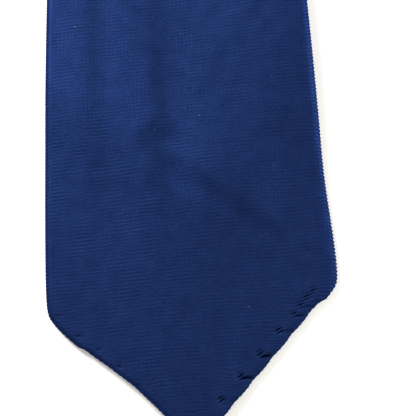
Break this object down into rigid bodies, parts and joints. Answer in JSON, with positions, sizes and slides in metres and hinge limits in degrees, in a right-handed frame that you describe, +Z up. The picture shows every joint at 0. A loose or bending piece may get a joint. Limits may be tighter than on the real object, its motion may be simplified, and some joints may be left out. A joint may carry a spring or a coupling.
{
  "type": "necktie",
  "caption": "Ribbed dark blue necktie doubled at the neck: wide pointed blade face up, narrow blade fanned out back side up, keeper loop and labels behind.",
  "frame": {"origin": "middle of the neck fold, on the surface the tie lies on", "axes": "-Y from the fold along the wide blade to its point, +Z up out of the surface, towards the wide blade's front face"},
  "size_m": [0.2223, 0.764, 0.0112],
  "materials": {
    "silk": "satin",
    "interlining": "matt",
    "tipping": "satin",
    "thread": "satin",
    "label": "satin",
    "care_label": "satin"
  },
  "bodies": {
    "narrow_blade": {"narrow_blade_shell": "silk", "neck_shell_narrow_side": "silk", "narrow_interlining": "interlining", "narrow_tipping": "tipping", "narrow_slip_stitch": "thread", "narrow_bar_tack": "thread", "narrow_hem_stitch_left": "thread", "narrow_hem_stitch_right": "thread", "narrow_neck_seam": "thread", "care_label": "care_label", "care_label_stitch": "thread"},
    "neck_link": {"neck_shell_fold": "silk", "neck_interlining_fold": "interlining"},
    "wide_blade": {"wide_blade_shell": "silk", "neck_shell_wide_side": "silk", "wide_interlining": "interlining", "wide_tipping": "tipping", "wide_slip_stitch": "thread", "wide_bar_tack": "thread", "wide_hem_stitch_left": "thread", "wide_hem_stitch_right": "thread", "wide_neck_seam": "thread", "keeper_loop": "silk", "keeper_tack_left": "thread", "keeper_tack_right": "thread", "maker_label": "label", "label_stitch_left": "thread", "label_stitch_right": "thread"}
  },
  "joints": [
    {"name": "neck_fold", "type": "hinge", "parent": "narrow_blade", "child": "neck_link", "pos_m": [0.00031, -0.00273, 0.00285], "axis": [-0.9936, -0.1132, 0], "range_deg": [0, 90.2]},
    {"name": "wide_blade_fold", "type": "hinge", "parent": "neck_link", "child": "wide_blade", "pos_m": [0.00031, -0.00273, 0.00835], "axis": [-0.9936, -0.1132, 0], "range_deg": [0, 90.2]}
  ]
}
